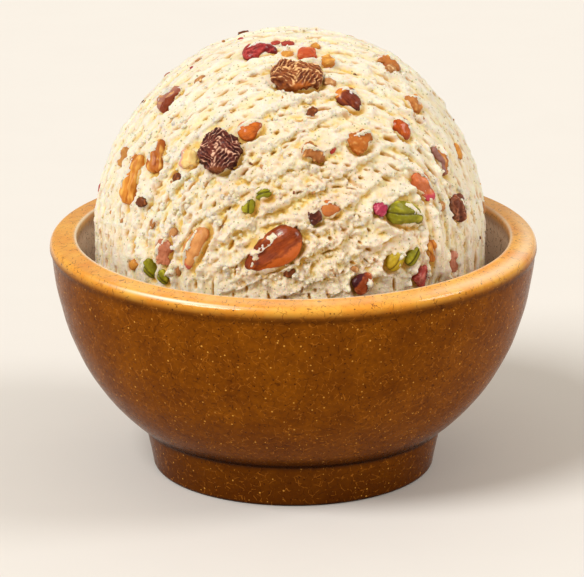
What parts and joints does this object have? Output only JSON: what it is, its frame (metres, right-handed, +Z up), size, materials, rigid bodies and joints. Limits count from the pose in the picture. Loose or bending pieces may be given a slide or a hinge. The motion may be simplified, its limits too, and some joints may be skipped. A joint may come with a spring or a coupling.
{
  "type": "bowl of dried fruit ice cream",
  "caption": "Footed glazed stoneware bowl holding one large ball of vanilla ice cream full of dried fruit and nuts.",
  "frame": {"origin": "middle of the foot ring's underside, on the surface the bowl stands on", "axes": "+Z up along the bowl's axis, -Y is the front that the picture shows, +X to the right in it"},
  "size_m": [0.15, 0.15, 0.1369],
  "materials": {
    "glaze": "glossy honey-brown speckled glaze",
    "ice_cream": "moist, matte to satin vanilla ice cream",
    "raisin": "wrinkled, slightly waxy",
    "almond": "smooth skin with a soft gloss",
    "apricot": "soft and fibrous, slightly shiny",
    "pistachio": "matte green kernel",
    "cranberry": "glossy, wrinkled",
    "cashew": "matte, finely ribbed",
    "nut": "chopped, with matte broken faces",
    "candied": "moist candied fruit"
  },
  "bodies": {
    "root": {"bowl": "glaze", "ice_cream": "ice_cream", "raisin_top": "raisin", "raisin_left": "raisin", "raisin_right": "raisin", "almond_front": "almond", "almond_left": "almond", "almond_top_right": "almond", "almond_right": "almond", "almond_middle": "almond", "apricot_left": "apricot", "apricot_fold": "apricot", "pistachio_right": "pistachio", "pistachio_yellow": "pistachio", "pistachio_leaf": "pistachio", "pistachio_upper": "pistachio", "pistachio_lower": "pistachio", "pistachio_low_left": "pistachio", "pistachio_low_inner": "pistachio", "cranberry_top": "cranberry", "cranberry_right": "cranberry", "cherry_right": "candied", "papaya_top": "candied", "papaya_right": "candied", "pineapple_left": "candied", "date_front": "candied", "date_middle": "candied", "peel_right": "apricot", "cashew_left": "cashew", "nut_top_left": "nut", "nut_edge_left": "nut", "nut_pink_left": "nut", "nut_top_right": "nut", "nut_upper_right": "nut", "nut_middle_right": "nut", "nut_middle": "nut", "nut_slit_right": "nut", "nut_low_right": "nut", "back_raisin_1": "raisin", "back_almond_2": "almond", "back_apricot_3": "apricot", "back_pistachio_4": "pistachio", "back_cranberry_5": "cranberry", "back_nut_6": "nut", "back_raisin_7": "raisin", "back_cashew_8": "cashew", "back_almond_9": "almond", "back_candied_10": "candied", "back_pistachio_11": "pistachio", "back_nut_12": "nut", "back_raisin_13": "raisin", "back_almond_14": "almond", "back_apricot_15": "apricot", "back_pistachio_16": "pistachio", "back_cranberry_17": "cranberry", "back_nut_18": "nut"}
  },
  "joints": []
}
